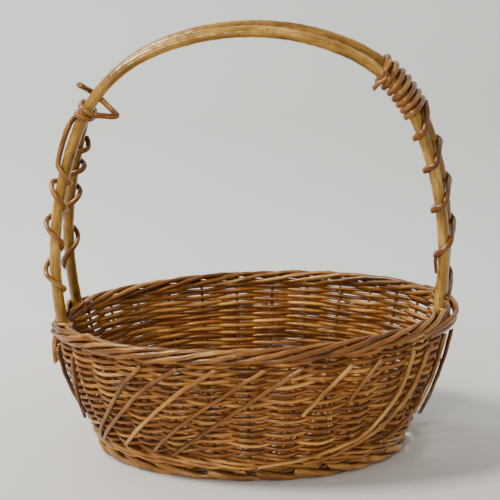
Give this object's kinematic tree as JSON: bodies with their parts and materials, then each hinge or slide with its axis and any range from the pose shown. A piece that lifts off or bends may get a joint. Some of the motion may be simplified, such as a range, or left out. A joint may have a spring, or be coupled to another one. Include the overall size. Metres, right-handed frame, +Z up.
{
  "type": "woven market basket",
  "caption": "Oval willow market basket with flared woven walls, rolled rim and foot, and a tall fixed hoop handle of two bound rods.",
  "frame": {"origin": "middle of the footprint, on the surface the foot stands on", "axes": "+Z up, +X along the long side to the right, +Y across to the back"},
  "size_m": [0.4098, 0.3087, 0.427],
  "materials": {
    "handle_willow": "thick peeled willow, pale golden, satin varnish, with knots and fine grain",
    "binding_willow": "thin willow bound round the handle, reddish brown, satin varnish",
    "stake_willow": "stakes and border rods, warm brown willow, satin to glossy varnish",
    "weaver_willow": "thin weaving rods, golden to reddish brown willow, glossy varnish",
    "base_willow": "thick base sticks, straw brown willow, dull varnish"
  },
  "bodies": {
    "root": {"base_cross_sticks": "base_willow", "base_long_sticks": "base_willow", "base_weave_rings": "weaver_willow", "foot_border_back": "stake_willow", "foot_border_front": "stake_willow", "foot_border_left": "stake_willow", "foot_border_right": "stake_willow", "handle_back_rod": "handle_willow", "handle_front_rod": "handle_willow", "left_knot_rod": "binding_willow", "left_wrap_rod_1": "binding_willow", "left_wrap_rod_2": "binding_willow", "outer_rods_back": "stake_willow", "outer_rods_front": "stake_willow", "right_binding_rod": "binding_willow", "right_wrap_rod": "binding_willow", "side_weaver_01": "weaver_willow", "side_weaver_02": "weaver_willow", "side_weaver_03": "weaver_willow", "side_weaver_04": "weaver_willow", "side_weaver_05": "weaver_willow", "side_weaver_06": "weaver_willow", "side_weaver_07": "weaver_willow", "side_weaver_08": "weaver_willow", "side_weaver_09": "weaver_willow", "side_weaver_10": "weaver_willow", "side_weaver_11": "weaver_willow", "side_weaver_12": "weaver_willow", "side_weaver_13": "weaver_willow", "side_weaver_14": "weaver_willow", "side_weaver_15": "weaver_willow", "side_weaver_16": "weaver_willow", "side_weaver_17": "weaver_willow", "side_weaver_18": "weaver_willow", "side_weaver_19": "weaver_willow", "side_weaver_20": "weaver_willow", "side_weaver_21": "weaver_willow", "side_weaver_22": "weaver_willow", "side_weaver_23": "weaver_willow", "side_weaver_24": "weaver_willow", "side_weaver_25": "weaver_willow", "side_weaver_26": "weaver_willow", "side_weaver_27": "weaver_willow", "stakes_back": "stake_willow", "stakes_front": "stake_willow", "stakes_left": "stake_willow", "stakes_right": "stake_willow", "top_border_back": "stake_willow", "top_border_front": "stake_willow", "top_border_left": "stake_willow", "top_border_right": "stake_willow", "wale_rod_1": "weaver_willow", "wale_rod_2": "weaver_willow", "wale_rod_3": "weaver_willow"}
  },
  "joints": []
}
